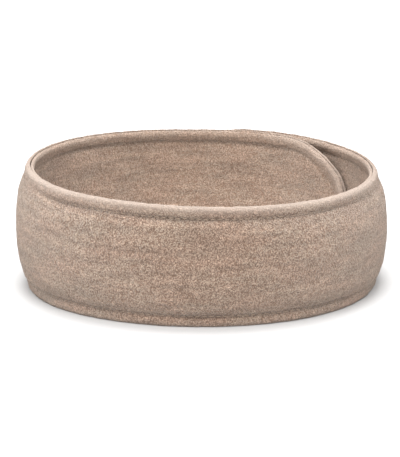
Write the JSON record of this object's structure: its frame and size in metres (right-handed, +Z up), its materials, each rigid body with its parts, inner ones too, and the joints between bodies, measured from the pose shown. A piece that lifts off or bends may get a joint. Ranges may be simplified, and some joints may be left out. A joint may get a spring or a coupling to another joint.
{
  "type": "spa headband",
  "caption": "Towelling spa headband: a padded strip closed into a ring by a hook-and-loop tab inside its outer end, with rolled, topstitched edges.",
  "frame": {"origin": "centre of the bounding box at the height of the surface the headband stands on", "axes": "+Z up through the ring, +X to the side where the tab's tip lies, -Y to the forehead"},
  "size_m": [0.1946, 0.1826, 0.0615],
  "materials": {
    "outer_towelling": "beige looped terry",
    "inner_towelling": "beige looped terry",
    "wadding": "white polyester wadding",
    "thread": "spun polyester thread",
    "tape_thread": "spun polyester thread",
    "hook_tape": "woven nylon with moulded hooks",
    "loop_tape": "brushed nylon loops"
  },
  "bodies": {
    "front_band": {"front_outer_towelling": "outer_towelling", "front_inner_towelling": "inner_towelling", "front_wadding": "wadding", "front_top_stitching": "thread", "front_bottom_stitching": "thread"},
    "left_wing": {"left_outer_towelling": "outer_towelling", "left_inner_towelling": "inner_towelling", "left_wadding": "wadding", "left_top_stitching": "thread", "left_bottom_stitching": "thread"},
    "fastening_tab": {"tab_outer_towelling": "outer_towelling", "tab_inner_towelling": "inner_towelling", "tab_wadding": "wadding", "tab_edge_stitching": "thread", "hook_tape": "hook_tape", "hook_tape_stitching": "tape_thread"},
    "right_wing": {"right_outer_towelling": "outer_towelling", "right_inner_towelling": "inner_towelling", "right_wadding": "wadding", "right_edge_stitching": "thread", "loop_tape": "loop_tape", "loop_tape_stitching": "tape_thread"}
  },
  "joints": [
    {"name": "right_side_opening", "type": "hinge", "parent": "front_band", "child": "right_wing", "pos_m": [0.0973, 0.00037, 0], "axis": [0, 0, -1], "range_deg": [0, 75]},
    {"name": "left_side_opening", "type": "hinge", "parent": "front_band", "child": "left_wing", "pos_m": [-0.0973, -0.0038, 0], "axis": [0, 0, 1], "range_deg": [0, 30]},
    {"name": "tab_peel", "type": "hinge", "parent": "left_wing", "child": "fastening_tab", "pos_m": [0.01253, 0.07203, 0], "axis": [0, 0, -1], "range_deg": [0, 60]}
  ],
  "couplings": [
    {"joint": "left_side_opening", "follows": "right_side_opening", "ratio": 0.4}
  ]
}
